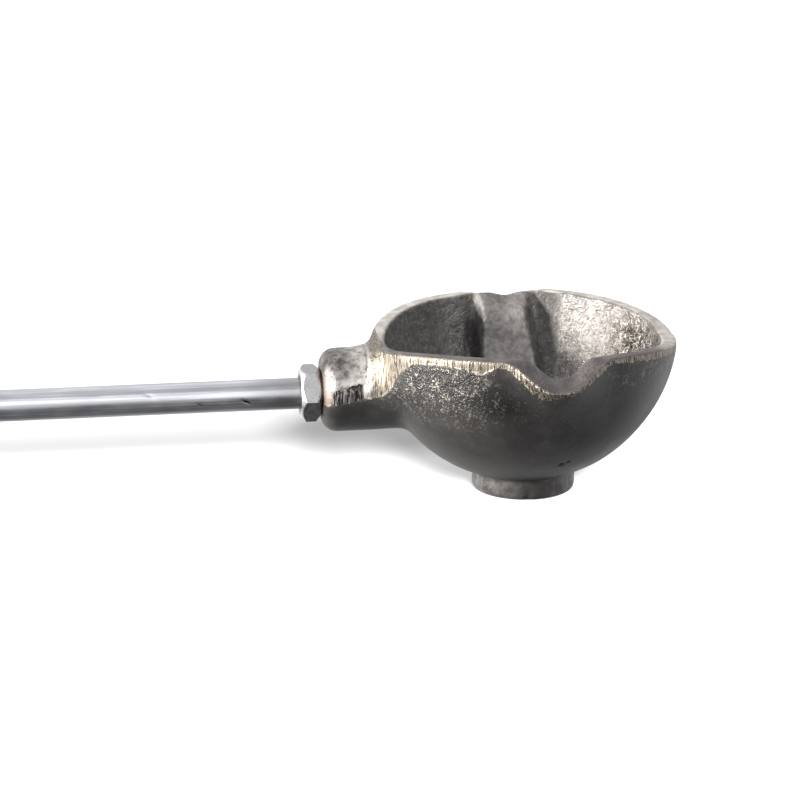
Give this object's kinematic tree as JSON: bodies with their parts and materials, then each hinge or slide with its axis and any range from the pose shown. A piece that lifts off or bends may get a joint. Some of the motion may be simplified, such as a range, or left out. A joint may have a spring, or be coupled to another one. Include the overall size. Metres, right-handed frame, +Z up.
{
  "type": "pouring ladle",
  "caption": "Cast-iron pouring ladle: round bowl on a foot with an open lip and a baffled duct, steel rod with lock nut, turned wooden grip.",
  "frame": {"origin": "centre of the foot's underside", "axes": "+Z up out of the bowl, +X towards the bowl's tip, the handle runs along -X, the open lip faces -Y and the baffled duct is at +Y"},
  "size_m": [0.353, 0.0893, 0.0447],
  "materials": {
    "cast_iron": "sand-cast, ground along the rim",
    "rod_steel": "bright drawn",
    "zinc_steel": "zinc plated",
    "hardwood": "oiled"
  },
  "bodies": {
    "head": {"ladle_head": "cast_iron"},
    "handle": {"handle_rod": "rod_steel", "ferrule": "zinc_steel", "wood_grip": "hardwood", "end_washer": "zinc_steel", "end_cap_nut": "zinc_steel"},
    "lock_nut": {"lock_nut": "zinc_steel"}
  },
  "joints": [
    {"name": "handle_turn", "type": "hinge", "parent": "head", "child": "handle", "pos_m": [-0.0534, 0, 0.0277], "axis": [1, 0, 0], "range_deg": [-180, 180]},
    {"name": "lock_nut_turn", "type": "hinge", "parent": "handle", "child": "lock_nut", "pos_m": [-0.0537, 0, 0.0277], "axis": [-1, 0, 0], "range_deg": [0, 330]}
  ]
}
